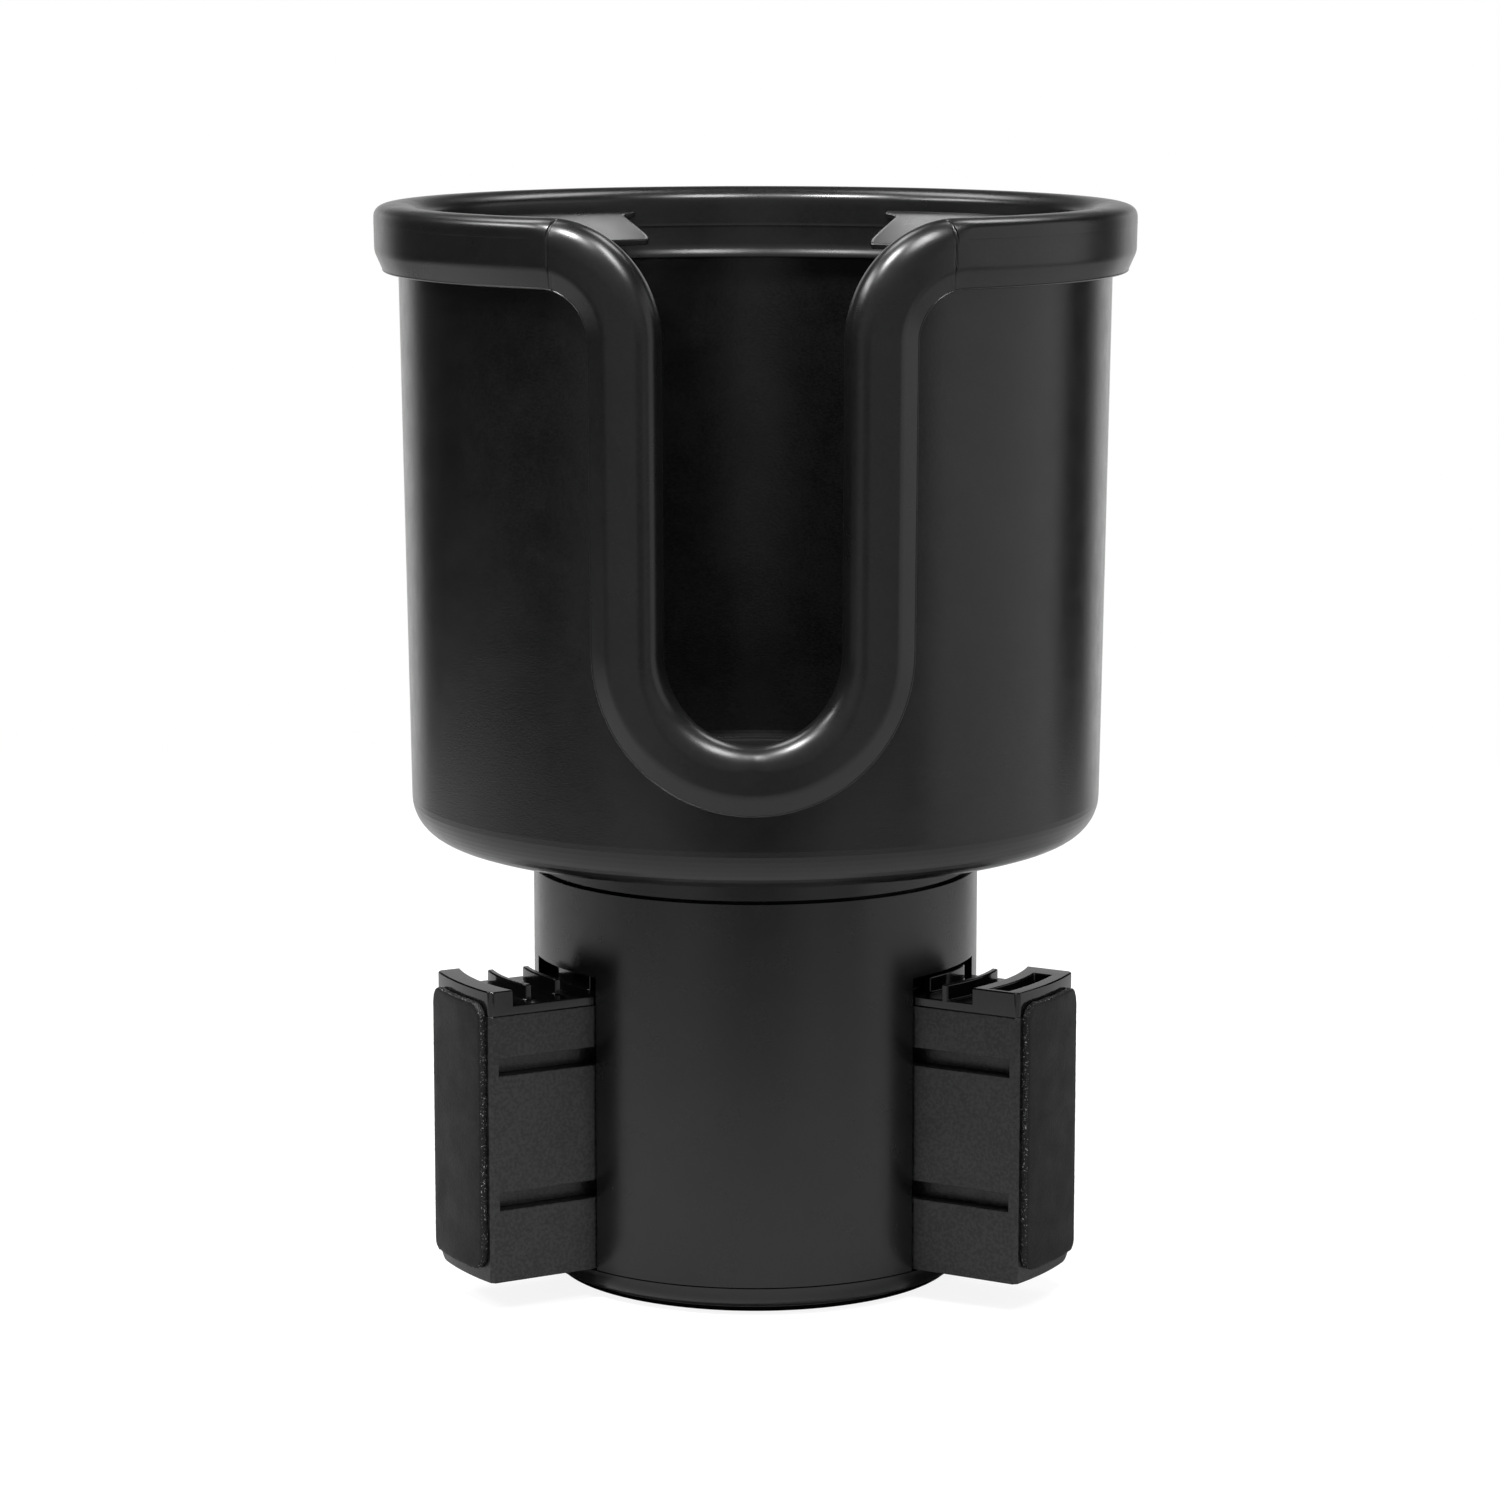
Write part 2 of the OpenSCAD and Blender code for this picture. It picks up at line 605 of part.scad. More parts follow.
// A curved tooth seen from above, between two sideways positions
module tooth(s, low_y, high_y) {
    intersection() {
        translate([s - tooth_r, 0]) difference() {
            circle(r = tooth_r + tooth_t / 2);
            circle(r = tooth_r - tooth_t / 2);
        }
        translate([s - tooth_r, low_y]) square([tooth_r + tooth_t, high_y - low_y]);
    }
}

// The toothed plate of arm k, lying along +X. The outer teeth run from -low_end to high_end.
module rack(k, low_end, high_end) {
    block_s = block_in(k);
    pocket_in_s = block_s + pocket_wall;
    pocket_out_s = arm_corner_s - groove_end;
    first = first_tooth(k);
    last_s = arm_inner_s + tooth_t;
    difference() {
        union() {
            translate([0, 0, rack_z]) linear_extrude(height = rack_deck_h) arm_outline();
            // Plug in the arm's hollow
            translate([hollow_in_s + rack_plug_gap, -hollow_half + rack_plug_gap, rack_z - rack_plug_h])
                cube([hollow_out_s - hollow_in_s - 2 * rack_plug_gap,
                    2 * (hollow_half - rack_plug_gap), rack_plug_h + rack_deck_h / 2]);
            // End block outside the last tooth, with a curved inner face
            translate([0, 0, deck_z - tooth_root_sink]) linear_extrude(height = tooth_h + tooth_root_sink)
                difference() {
                    arm_outline();
                    translate([block_s - sleeve_in_r, 0]) circle(r = sleeve_in_r);
                    translate([0, -arm_half_w - 1]) square([block_s - arm_half_w, 2 * arm_half_w + 2]);
                }
            // Teeth, one lead apart
            translate([0, 0, deck_z - tooth_root_sink]) linear_extrude(height = tooth_h + tooth_root_sink)
                for (s = [first : -lead : last_s]) {
                    outer = first - s < lead - 1;
                    tooth(s, outer ? -low_end : -inner_tooth_half, outer ? high_end : inner_tooth_half);
                }
        }
        // Pocket in a block that is wide enough for one
        if (pocket_out_s - pocket_in_s > tooth_t)
            translate([0, 0, deck_z]) linear_extrude(height = tooth_h + 1) intersection() {
                difference() {
                    circle(r = pocket_out_s);
                    translate([pocket_in_s - sleeve_in_r, 0]) circle(r = sleeve_in_r);
                }
                translate([pocket_in_s - sleeve_wall, -low_end + tooth_t])
                    square([sleeve_in_r, low_end + high_end - tooth_t]);
            }
    }
}

// The grip pad of an arm, lying along +X
module pad() {
    half_w = arm_half_w - pad_side;
    low = arm_z + pad_end;
    high = arm_top - pad_end;
    intersection() {
        translate([0, 0, low]) linear_extrude(height = high - low) difference() {
            circle(r = arm_face_r + pad_t);
            circle(r = arm_face_r);
        }
        // Rounded front of the pad, looking along the arm
        translate([arm_corner_s - pad_t, 0, 0]) rotate([90, 0, 90])
            linear_extrude(height = 2 * pad_t + arm_face_r - arm_corner_s) union() {
                translate([-half_w, low + pad_corner_r]) square([2 * half_w, high - low - 2 * pad_corner_r]);
                translate([-half_w + pad_corner_r, low]) square([2 * (half_w - pad_corner_r), high - low]);
                for (y = [-1, 1], z = [low + pad_corner_r, high - pad_corner_r])
                    translate([y * (half_w - pad_corner_r), z]) circle(r = pad_corner_r);
            }
    }
}

// Where the outer teeth end, on the low and the high side, as the photographed arms show
left_teeth = [5.8, 6.6];
right_teeth = [arm_half_w, 5];
rear_teeth = [5.8, 5.8];

module arm_left() {
    color("#2a2a2c") rotate([0, 0, left_angle]) arm_body();
}

module rack_left() {
    color("#1f1f21") rotate([0, 0, left_angle]) rack(0, left_teeth[0], left_teeth[1]);
}

module pad_left() {
    color("#19191a") rotate([0, 0, left_angle]) pad();
}

module arm_right() {
    color("#2a2a2c") rotate([0, 0, right_angle]) arm_body();
}

module rack_right() {
    color("#1f1f21") rotate([0, 0, right_angle]) rack(1, right_teeth[0], right_teeth[1]);
}

module pad_right() {
    color("#19191a") rotate([0, 0, right_angle]) pad();
}

module arm_rear() {
    color("#2a2a2c") rotate([0, 0, rear_angle]) arm_body();
}

module rack_rear() {
    color("#1f1f21") rotate([0, 0, rear_angle]) rack(2, rear_teeth[0], rear_teeth[1]);
}

module pad_rear() {
    color("#19191a") rotate([0, 0, rear_angle]) pad();
}

upper_cup();
rim_trim();
cup_mat();
cup_screws();
neck_plate();
scroll_disc();
scroll_screws();
glide_ring();
base_sleeve();
base_plate();
base_screws();
foot_pad();
arm_left();
rack_left();
pad_left();
arm_right();
rack_right();
pad_right();
arm_rear();
rack_rear();
pad_rear();
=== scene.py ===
"""Looks of the cup holder adapter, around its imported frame.

Lengths are in millimetres until a mesh is made; the studio and the camera are in metres.
"""
import math

import bmesh
import bpy
import numpy as np
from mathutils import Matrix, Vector


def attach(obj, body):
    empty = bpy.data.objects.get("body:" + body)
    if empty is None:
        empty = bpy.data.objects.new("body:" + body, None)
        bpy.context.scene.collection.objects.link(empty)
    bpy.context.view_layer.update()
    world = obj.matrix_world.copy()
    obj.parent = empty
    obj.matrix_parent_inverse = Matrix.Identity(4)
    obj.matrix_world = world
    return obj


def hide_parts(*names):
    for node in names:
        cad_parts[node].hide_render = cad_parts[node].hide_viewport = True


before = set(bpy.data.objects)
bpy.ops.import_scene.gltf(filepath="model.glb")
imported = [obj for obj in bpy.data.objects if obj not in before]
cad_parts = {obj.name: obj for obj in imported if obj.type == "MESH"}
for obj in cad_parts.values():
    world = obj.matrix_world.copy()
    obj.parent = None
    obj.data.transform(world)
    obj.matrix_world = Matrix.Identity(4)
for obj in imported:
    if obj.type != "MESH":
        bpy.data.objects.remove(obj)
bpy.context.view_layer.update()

MM = 0.001

# Sizes that the part's source has too. The cup's wall leans out from its rounded corner to its top.
CUP_TOP_R, CUP_TOP = 53.65, 160.5
CUP_LOW_R, CORNER_TOP_Z = 52.4, 73.7
CUP_WALL = 2.0
SLEEVE_R = 34.0
ARM_FACE_R, ARM_HALF, ARM_LOW = 50.8, 9.0, 4.65
ARM_ANGLES = {"left": 210.0, "right": 330.0, "rear": 90.0}


def cup_r(z):
    """Outer radius of the cup wall at a height."""
    return CUP_LOW_R + (CUP_TOP_R - CUP_LOW_R) * (z - CORNER_TOP_Z) / (CUP_TOP - CORNER_TOP_Z)


# ---------------------------------------------------------------- materials

# Sizes of the slow changes in a moulding's tone and gloss, and of its faint waves
TONE_MM, GLOSS_MM, WAVE_MM = 9.0, 4.0, 7.0
TONE_RANGE = (0.41, 0.59)
# The same for brushed steel, with its grain, and for the cells of cut rubber
BRUSH_TONE_MM, BRUSH_GLOSS_MM, BRUSH_MM, BRUSH_DEPTH, BRUSH_DARK = 0.8, 0.4, 0.15, 0.01, 0.8
CELL_MM, CELL_DEPTH, CELL_RANGE = 0.28, 0.12, (0.59, 0.70)
FOAM_GLOSS_MM, FOAM_SPECULAR = 2.0, 0.3


def node(tree, kind, **values):
    made = tree.nodes.new(kind)
    for key, value in values.items():
        setattr(made, key, value)
    return made


def noise(tree, coords, size_mm, detail=3.0, rough=0.55):
    made = node(tree, "ShaderNodeTexNoise")
    made.inputs["Scale"].default_value = 1 / (size_mm * MM)
    made.inputs["Detail"].default_value = detail
    made.inputs["Roughness"].default_value = rough
    tree.links.new(coords, made.inputs["Vector"])
    return made.outputs["Fac"]


def spread(tree, value, levels, over=(0.3, 0.7)):
    """A value spread from its range "over" onto two levels, and held at them beyond it."""
    made = node(tree, "ShaderNodeMapRange")
    for key, number in zip(("From Min", "From Max", "To Min", "To Max"), (*over, *levels)):
        made.inputs[key].default_value = number
    tree.links.new(value, made.inputs["Value"])
    return made.outputs["Result"]


def mixed(tree, factor, low, high):
    """A mix of two values, where each is a socket or a number."""
    made = node(tree, "ShaderNodeMix", data_type="FLOAT")
    for socket, value in zip((made.inputs[0], made.inputs[2], made.inputs[3]), (factor, low, high)):
        if isinstance(value, float):
            socket.default_value = value
        else:
            tree.links.new(value, socket)
    return made.outputs[0]


def combined(tree, operation, *values):
    made = node(tree, "ShaderNodeMath", operation=operation)
    for socket, value in zip(made.inputs, values):
        tree.links.new(value, socket)
    return made.outputs[0]


def two_tone(tree, value, tones, over=(0.35, 0.65)):
    made = node(tree, "ShaderNodeValToRGB")
    for end, position, tone in zip(made.color_ramp.elements, over, tones):
        end.position, end.color = position, (*tone, 1)
    tree.links.new(value, made.inputs["Fac"])
    return made.outputs["Color"]


def bump(tree, height, depth_mm, normal=None):
    made = node(tree, "ShaderNodeBump")
    made.inputs["Distance"].default_value = depth_mm * MM
    made.inputs["Strength"].default_value = 1.0
    tree.links.new(height, made.inputs["Height"])
    if normal is not None:
        tree.links.new(normal, made.inputs["Normal"])
    return made.outputs["Normal"]


def new_look(name, key, level):
    """A new material, its tree and the coordinates on the object, with one level set on its shader."""
    made = bpy.data.materials.new(name)
    made.use_nodes = True
    tree = made.node_tree
    tree.nodes["Principled BSDF"].inputs[key].default_value = level
    return made, tree, node(tree, "ShaderNodeTexCoord").outputs["Object"]


def wire(tree, colour, roughness, normal):
    shader = tree.nodes["Principled BSDF"]
    for key, value in (("Base Color", colour), ("Roughness", roughness), ("Normal", normal)):
        tree.links.new(value, shader.inputs[key])


def moulded(name, tones, rough, grain, specular=0.5, speck=0.0, flat=1.0, wave_depth=0.0):
    """Moulded plastic or rubber: slow changes in tone and gloss over a fine grain.

    grain is its size and its depth, speck its share in the tone, and flat how many times wider than
    high it is. wave_depth adds slow waves.
    """
    made, tree, coords = new_look(name, "Specular IOR Level", specular)
    stretched = node(tree, "ShaderNodeMapping")
    stretched.inputs["Scale"].default_value = (1, 1, flat)
    tree.links.new(coords, stretched.inputs["Vector"])
    grain_mm, grain_depth = grain
    fine = noise(tree, stretched.outputs["Vector"], grain_mm, 2.0)
    tone = mixed(tree, speck, noise(tree, coords, TONE_MM), fine)
    normal = bump(tree, fine, grain_depth)
    if wave_depth:
        normal = bump(tree, noise(tree, coords, WAVE_MM, 1.0), wave_depth, normal)
    wire(tree, two_tone(tree, tone, tones, TONE_RANGE), spread(tree, noise(tree, coords, GLOSS_MM), rough), normal)
    return made


def metal(name, tone, rough):
    """Plated steel with a fine brushed grain."""
    made, tree, coords = new_look(name, "Metallic", 1.0)
    dark = tuple(c * BRUSH_DARK for c in tone)
    wire(tree, two_tone(tree, noise(tree, coords, BRUSH_TONE_MM), (dark, tone)),
         spread(tree, noise(tree, coords, BRUSH_GLOSS_MM), rough),
         bump(tree, noise(tree, coords, BRUSH_MM), BRUSH_DEPTH))
    return made


def foam(name, tones, rough):
    """Cut cellular rubber: dark, with pale specks where cells are cut open."""
    made, tree, coords = new_look(name, "Specular IOR Level", FOAM_SPECULAR)
    cells = noise(tree, coords, CELL_MM, 4.0, 0.75)
    wire(tree, two_tone(tree, cells, tones, CELL_RANGE), spread(tree, noise(tree, coords, FOAM_GLOSS_MM), rough),
         bump(tree, cells, CELL_DEPTH))
    return made


def greys(*levels):
    """Greys with a trace of blue."""
    return tuple((level, level, level * 1.02) for level in levels)


CUP = moulded("cup_plastic", greys(0.0020, 0.0050), (0.22, 0.27), (0.50, 0.014), speck=0.6, flat=2.2)
TRIM = moulded("trim_rubber", greys(0.0036, 0.0056), (0.27, 0.31), (0.60, 0.003), speck=0.5, wave_depth=0.015)
NECK = moulded("neck_plastic", greys(0.0040, 0.0050), (0.22, 0.26), (0.30, 0.006))
SLEEVE = moulded("sleeve_plastic", greys(0.0028, 0.0048), (0.24, 0.28), (0.50, 0.003), speck=0.6)
# Painted shade: darker and duller than the sleeve, for its inner faces and the walls of the arms' slots, so the gaps
# round the arms read dark
SLOT_PAINTED_SHADE = moulded("slot_painted_shade", greys(0.0008, 0.0012), (0.60, 0.70), (0.50, 0.010), specular=0.08)
COVER = moulded("cover_plastic", greys(0.0045, 0.0056), (0.22, 0.26), (0.30, 0.006))
ARM = moulded("arm_plastic", greys(0.0010, 0.0130), (0.30, 0.38), (0.50, 0.020), speck=0.85)
RACK = moulded("rack_plastic", greys(0.0016, 0.0030), (0.10, 0.15), (0.50, 0.004))
SCROLL = moulded("scroll_plastic", greys(0.0050, 0.0062), (0.20, 0.26), (0.50, 0.006))
GLIDE = moulded("glide_plastic", ((0.70, 0.69, 0.65), (0.76, 0.75, 0.71)), (0.40, 0.50), (0.50, 0.010))
PAD = moulded("pad_rubber", greys(0.0014, 0.0054), (0.50, 0.60), (0.45, 0.030), specular=0.22, speck=0.6)
MAT = moulded("mat_rubber", greys(0.0030, 0.0048), (0.55, 0.65), (0.60, 0.050), specular=0.18, speck=0.5)
FOOT = moulded("foot_rubber", greys(0.0016, 0.0024), (0.75, 0.85), (0.50, 0.040), specular=0.06, speck=0.5)
PAD_EDGE = foam("pad_cut_edge", greys(0.0030, 0.55), (0.45, 0.65))
STEEL = metal("screw_steel", (0.60, 0.60, 0.62), (0.28, 0.42))

CAD_LOOKS = {
    "upper_cup": CUP, "rim_trim": TRIM, "cup_mat": MAT, "cup_screws": STEEL, "neck_plate": NECK,
    "scroll_disc": SCROLL, "scroll_screws": STEEL, "glide_ring": GLIDE, "base_sleeve": SLEEVE,
    "base_plate": COVER, "base_screws": STEEL, "foot_pad": FOOT,
}
for side in ARM_ANGLES:
    CAD_LOOKS.update({"arm_" + side: ARM, "rack_" + side: RACK, "pad_" + side: PAD})
for name, look in CAD_LOOKS.items():
    cad_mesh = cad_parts[name].data
    cad_mesh.materials.clear()
    cad_mesh.materials.append(look)


# ---------------------------------------------------------------- mesh helpers

TURN_STEPS = 180
WELD_M = 1e-6
FLAT_DEGREES, EDGE_DEGREES = 0.2, 30.0
# Angles, in degrees, from which an edge stays sharp
DRESSED_SHARP, TRIM_SHARP, PAD_SHARP, TURNED_SHARP = 50, 40, 60, 50


def add_piece(mesh, looks, body, node_name, sharp, face_looks=None):
    """Puts a mesh in the scene under its own name: it rides on a body and stands for a CAD node."""
    for look in looks:
        mesh.materials.append(look)
    if face_looks is not None:
        mesh.polygons.foreach_set("material_index", face_looks)
    mesh.polygons.foreach_set("use_smooth", [True] * len(mesh.polygons))
    mesh.set_sharp_from_angle(angle=math.radians(sharp))
    mesh.update()
    made = bpy.data.objects.new(mesh.name, mesh)
    bpy.context.scene.collection.objects.link(made)
    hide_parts(node_name)
    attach(made, body)
    return made


def new_mesh(name, points, faces):
    """A mesh of points given in millimetres."""
    mesh = bpy.data.meshes.new(name)
    mesh.from_pydata([tuple(float(c) * MM for c in p) for p in points], [], faces)
    return mesh


def turned(profile):
    """Points and faces of a closed [r, z] profile turned about the axis."""
    points, rings = [], []
    turns = [2 * math.pi * i / TURN_STEPS for i in range(TURN_STEPS)]
    for r, z in profile:
        start = len(points)
        if r == 0:
            rings.append([start] * TURN_STEPS)
            points.append((0, 0, z))
        else:
            rings.append(list(range(start, start + TURN_STEPS)))
            points += [(r * math.cos(a), r * math.sin(a), z) for a in turns]
    faces = []
    for low, high in zip(rings, rings[1:] + rings[:1]):
        for i in range(TURN_STEPS):
            k = (i + 1) % TURN_STEPS
            loop = [low[i], low[k], high[k], high[i]]
            loop = [v for n, v in enumerate(loop) if v != loop[n - 1]]
            if len(loop) > 2:
                faces.append(loop)
    return points, faces


def arc(cx, cy, r, a0, a1, n):
    """Points of an arc, angles in degrees."""
    turns = [math.radians(a0 + (a1 - a0) * i / n) for i in range(n + 1)]
    return [(cx + r * math.cos(a), cy + r * math.sin(a)) for a in turns]


def soft_corner(a, b, c, r, n):
    """Points that round the corner b of a path a, b, c, starting r before it."""
    a, b, c = (np.array(p, float) for p in (a, b, c))
    start = b + (a - b) / np.linalg.norm(a - b) * r
    end = b + (c - b) / np.linalg.norm(c - b) * r
    return [tuple((1 - t) ** 2 * start + 2 * t * (1 - t) * b + t * t * end) for t in np.linspace(0, 1, n + 1)]


def dressed(node_name, looks, body, bevel_mm, segments=2, cut_corner=None, painted_shade_faces=None):
    """A copy of a CAD node with its sharp edges rounded, which stands for that node.

    cut_corner may cut the copy before that, and the last argument picks the faces that have the second look, which is
    a painted shade.
    """
    mesh = bpy.data.meshes.new(node_name + "_moulded")
    work = bmesh.new()
    work.from_mesh(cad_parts[node_name].data)
    bmesh.ops.remove_doubles(work, verts=work.verts, dist=WELD_M)
    bmesh.ops.dissolve_limit(work, angle_limit=math.radians(FLAT_DEGREES), verts=work.verts, edges=work.edges)
    if cut_corner:
        cut_corner(work)
    edges = [e for e in work.edges if e.is_manifold and e.calc_face_angle() > math.radians(EDGE_DEGREES)]
    bmesh.ops.bevel(work, geom=edges, offset=bevel_mm * MM, offset_type="OFFSET", segments=segments,
                    profile=0.5, affect="EDGES", clamp_overlap=True)
    work.to_mesh(mesh)
    work.free()
    face_looks = [int(painted_shade_faces(face)) for face in mesh.polygons] if painted_shade_faces else None
    made = add_piece(mesh, looks, body, node_name, DRESSED_SHARP, face_looks)
    made.modifiers.new("even_faces", "WEIGHTED_NORMAL").keep_sharp = True


# ---------------------------------------------------------------- rim trim

# The crown's line runs along the rim and round the slot: half width, upper corners, centre of the lower end
CROWN_Z = 163.02
SLOT_HALF, SLOT_R, SLOT_LOW_Y = 12.95, 17.0, 102.05
UNROLL_R = (CUP_TOP_R + CUP_LOW_R) / 2
SIDE_STEPS, LOW_STEPS, RIM_STEPS = 26, 73, 260

# The section, out from the cup's outer wall and in from the crown
TRIM_OUT, TRIM_IN, TRIM_GAP = 3.5, -3.42, 0.12
TRIM_CROWN, TRIM_LIP, TRIM_SKIRT = 2.4, 10.0, 10.6
TRIM_MIDDLE, TRIM_HALF = (TRIM_OUT + TRIM_IN) / 2, (TRIM_OUT - TRIM_IN) / 2
OUTER_DEEP, INNER_DEEP, FACE_END = 2.6, 2.1, 5.4
LIP_OUT, LIP_BEND = 2.2, 7.0

# Depth of the crown's outer rounding, by the share of the line's direction that is upright
DEPTH_AT, DEPTHS = (0.0, 0.15, 0.45, 0.75, 1.0), (2.9, 3.5, 4.0, 3.8, 2.8)

# Past the mould's part lines the rim strip has a flatter top and a tighter edge
PART_LINES = tuple(math.radians(a) * UNROLL_R for a in (-30.3, 29.8))
PART_LINE_DEEP, PART_LINE_HALF = 0.13, 0.09
LINES_OUT, LINES_LOW = 0.5, CROWN_Z - TRIM_LIP - 0.5
STRIP_DEEP, STRIP_POWER, STRIP_START, STRIP_EASE = 2.2, 2 / 2.7, 0.5, 5
FLASH_AT, FLASH_HALF, FLASH_UP = 2.80, 0.05, 0.025

# Grip flaps: angle of the middle and droop of the tip, then the sizes that all four share
FLAPS = ((46, 4.9), (133, 4.3), (-32, 4.2), (212, 4.2))
FLAP_SPAN, FLAP_LEN, FLAP_T, FLAP_BEND = math.radians(37), 6.7, 0.9, 1.15
FLAP_Z = CROWN_Z - 3.55
FLAP_R = cup_r(FLAP_Z) + TRIM_IN
FLAP_TIP_R, FLAP_EDGE = 1.2, 0.16
FLAP_ROWS = (-0.6, 0.0, 0.2, 0.45, 0.53, 0.62, 0.71, 0.80, 0.90, 1.00, 1.12, 1.27,
             1.6, 2.6, 3.6, 4.6, 5.3, 5.7, 6.05, 6.3, 6.5, 6.62, FLAP_LEN)
FLAP_COLUMNS = (-1, -0.985, -0.96, -0.92, *np.linspace(-0.86, 0.86, 23), 0.92, 0.96, 0.985, 1)

# How far a flap's side edge stands back along the arc, by the distance from the skirt
FLAP_EDGE_AT = (0.0, 0.45, 0.62, 0.80, 1.00, 1.27, 2.5, 5.1, 6.7)
FLAP_EDGE_BACK = (-1.1, -1.1, -0.85, -0.30, 0.60, 1.07, 0.50, -0.85, -1.5)


def crown_line():
    """Stations of the trim's crown line on the unrolled wall: x, y, and the direction into the wall."""
    corner_x, corner_y = SLOT_HALF + SLOT_R, CROWN_Z - SLOT_R
    turns = [90, 92, 94] + list(np.arange(95, 108, 0.22)) + list(np.linspace(108, 180, 30))
    ways = [(math.cos(math.radians(a)), math.sin(math.radians(a))) for a in turns]
    right = [(corner_x + SLOT_R * c, corner_y + SLOT_R * s, -c, -s) for c, s in ways]
    side = [(SLOT_HALF, y, 1, 0) for y in np.linspace(corner_y, SLOT_LOW_Y, SIDE_STEPS)[1:-1]]
    line = right + side
    line += [(SLOT_HALF * math.cos(a), SLOT_LOW_Y + SLOT_HALF * math.sin(a), math.cos(a), math.sin(a))
             for a in np.linspace(0, -math.pi, LOW_STEPS)]
    line += [(-x, y, -dx, dy) for x, y, dx, dy in side[::-1] + right[::-1]]
    rest = 2 * (math.pi * UNROLL_R - corner_x)
    line += [(-corner_x - rest * i / RIM_STEPS, CROWN_Z, 0, -1) for i in range(1, RIM_STEPS)]
    return line


def rounding(way, deep, turns):
    """A quarter of the crown's rounding, outwards for way 1 and inwards for way -1."""
    return [(TRIM_MIDDLE + way * TRIM_HALF * math.sin(math.radians(a)), deep * (1 - math.cos(math.radians(a))))
            for a in turns]


def trim_section():
    """The trim's section from the crown over the outer lip and the skirt back to the crown."""
    outer = rounding(1, OUTER_DEEP, np.linspace(0, 90, 15))
    face = [(TRIM_OUT, deep) for deep in (2.68, 2.74, 2.80, 2.86, 2.92, 3.4, 4.4, FACE_END)]
    edge = soft_corner((TRIM_OUT, OUTER_DEEP), (TRIM_OUT, LIP_BEND), (LIP_OUT, TRIM_LIP), 0.6, 5)
    lip = [(2.34, 9.72), (2.40, 9.78), (2.36, 9.86), (2.24, 9.95), (2.1, TRIM_LIP)]
    channel = [(TRIM_GAP, TRIM_LIP), (TRIM_GAP, TRIM_CROWN), (-CUP_WALL - TRIM_GAP, TRIM_CROWN),
               (-CUP_WALL - TRIM_GAP, TRIM_SKIRT)]
    skirt = [(-2.6, 11.2), (-3.9, 11.2), (-3.96, 11.17), (-3.99, 11.1), (-3.98, 10.95)]
    bead = [(-3.95, 10.74), (-3.87, 10.5), (-3.75, 10.25), (-3.62, 10.0), (-3.52, 9.75), (-3.45, 9.4)]
    groove = [(-3.44, 6.1), (-3.44, 6.05)]
    wall = [[(TRIM_IN, deep) for deep in deeps] for deeps in ((9.0, 6.5, 6.2), (5.95, 5.6, 4, 3))]
    inner = rounding(-1, INNER_DEEP, np.linspace(90, 6, 14))
    return outer + face + edge + lip + channel + skirt + bead + wall[0] + groove + wall[1] + inner


def strip_share(x):
    """How far the section at x is the rim strip's."""
    past = max(PART_LINES[0] - x, x - PART_LINES[1])
    return 0.0 if past < 0 else min(1.0, STRIP_START + past / STRIP_EASE)


def outer_crown(station, out, deep):
    """Moves a point of the section's outer rounding and face to the form it has at a station."""
    if out <= TRIM_MIDDLE or deep > FACE_END:
        return out, deep
    depth = float(np.interp(abs(station[2]), DEPTH_AT, DEPTHS))
    strip = strip_share(station[0])
    if deep > OUTER_DEEP:
        moved = depth + (deep - OUTER_DEEP) * (FACE_END - depth) / (FACE_END - OUTER_DEEP)
        return out, moved + (deep - moved) * strip
    across, down = (out - TRIM_MIDDLE) / TRIM_HALF, max(1 - deep / OUTER_DEEP, 0.0)
    strip_out = TRIM_MIDDLE + TRIM_HALF * across ** STRIP_POWER
    strip_deep = STRIP_DEEP * (1 - down ** STRIP_POWER)
    return out + (strip_out - out) * strip, deep * depth / OUTER_DEEP * (1 - strip) + strip_deep * strip


def on_wall(station, section_point):
    """A section point at a station of the crown line, with the mould's fine lines."""
    out, deep = outer_crown(station, *section_point)
    x = station[0] + deep * station[2]
    y = station[1] + deep * station[3]
    if out > LINES_OUT and y > LINES_LOW:
        out -= PART_LINE_DEEP * max(math.exp(-((x - line_x) / PART_LINE_HALF) ** 2) for line_x in PART_LINES)
        on_strip = station[3] == -1 and not PART_LINES[0] < x < PART_LINES[1]
        if on_strip and abs(deep - FLASH_AT) < 3 * FLASH_HALF:
            out += FLASH_UP * math.exp(-((deep - FLASH_AT) / FLASH_HALF) ** 2)
    a = x / UNROLL_R
    r = cup_r(y) + out
    return (r * math.sin(a), -r * math.cos(a), y)


def trim_band():
    """Points and faces of the section swept along the crown line."""
    line, section = crown_line(), trim_section()
    points = [on_wall(station, q) for station in line for q in section]
    n = len(section)
    faces = []
    for i in range(len(line)):
        here, ahead = i * n, (i + 1) % len(line) * n
        for j in range(n):
            k = (j + 1) % n
            faces.append([here + k, ahead + k, ahead + j, here + j])
    return points, faces


def flap_inset(u):
    """How far a flap's side edge stands back along the arc, with the hook at its root and its round tip."""
    near_tip = u - (FLAP_LEN - FLAP_TIP_R)
    tip = FLAP_TIP_R - math.sqrt(max(0.0, FLAP_TIP_R ** 2 - near_tip ** 2)) if near_tip > 0 else 0.0
    return float(np.interp(u, FLAP_EDGE_AT, FLAP_EDGE_BACK)) + tip


